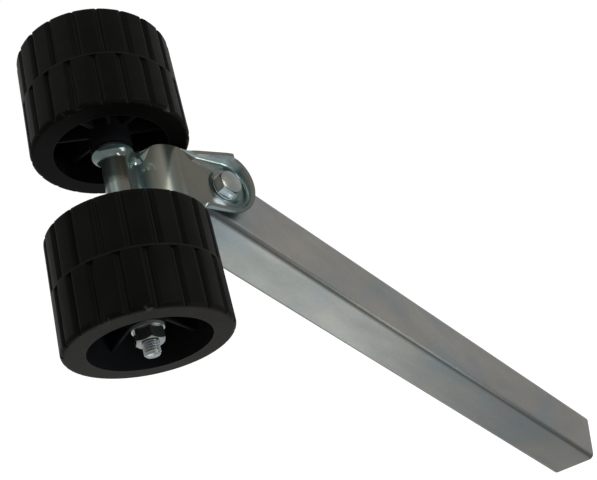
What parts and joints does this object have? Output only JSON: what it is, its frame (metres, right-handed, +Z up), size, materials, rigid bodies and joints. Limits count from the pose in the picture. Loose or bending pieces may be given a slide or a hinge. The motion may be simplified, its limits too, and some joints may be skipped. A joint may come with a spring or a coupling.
{
  "type": "double side roller",
  "caption": "Rocking side roller for a boat trailer: ribbed black rollers on one axle, held by a pressed zinc-plated strap that tilts on a square tube stem.",
  "frame": {"origin": "on the stem's face on the far roller's side, in the middle of its width and 60 mm above its foot, where the trailer's clamp bears on it", "axes": "+Z up the stem, +X from the clamped face towards the near roller's side, +Y along the pivot towards its bolt's head"},
  "size_m": [0.2251, 0.098, 0.53],
  "materials": {
    "stem_zinc": "satin zinc plate",
    "bracket_zinc": "bright zinc plate",
    "hardware_zinc": "bright zinc plate",
    "roller_rubber": "hard black rubber, satin"
  },
  "bodies": {
    "stem": {"stem_tube": "stem_zinc"},
    "rocker": {"rocker_bracket": "bracket_zinc", "axle_sleeve": "hardware_zinc", "axle_rod": "hardware_zinc", "near_inner_washer": "hardware_zinc", "far_inner_washer": "hardware_zinc", "near_outer_washer": "hardware_zinc", "far_outer_washer": "hardware_zinc", "near_axle_nut": "hardware_zinc", "far_axle_nut": "hardware_zinc", "pivot_bolt": "hardware_zinc", "front_pivot_washer": "hardware_zinc", "back_pivot_washer": "hardware_zinc", "pivot_lock_nut": "hardware_zinc", "pivot_sleeve": "hardware_zinc"},
    "near_roller_wheel": {"near_roller": "roller_rubber"},
    "far_roller_wheel": {"far_roller": "roller_rubber"}
  },
  "joints": [
    {"name": "rocker_tilt", "type": "hinge", "parent": "stem", "child": "rocker", "pos_m": [0.02, 0, 0.326], "axis": [0, 1, 0], "range_deg": [-100, 47]},
    {"name": "near_roller_spin", "type": "hinge", "parent": "rocker", "child": "near_roller_wheel", "pos_m": [0.04766, 0, 0.38149], "axis": [0.8949, 0, -0.4462], "continuous": true},
    {"name": "far_roller_spin", "type": "hinge", "parent": "rocker", "child": "far_roller_wheel", "pos_m": [0.04766, 0, 0.38149], "axis": [0.8949, 0, -0.4462], "continuous": true}
  ]
}
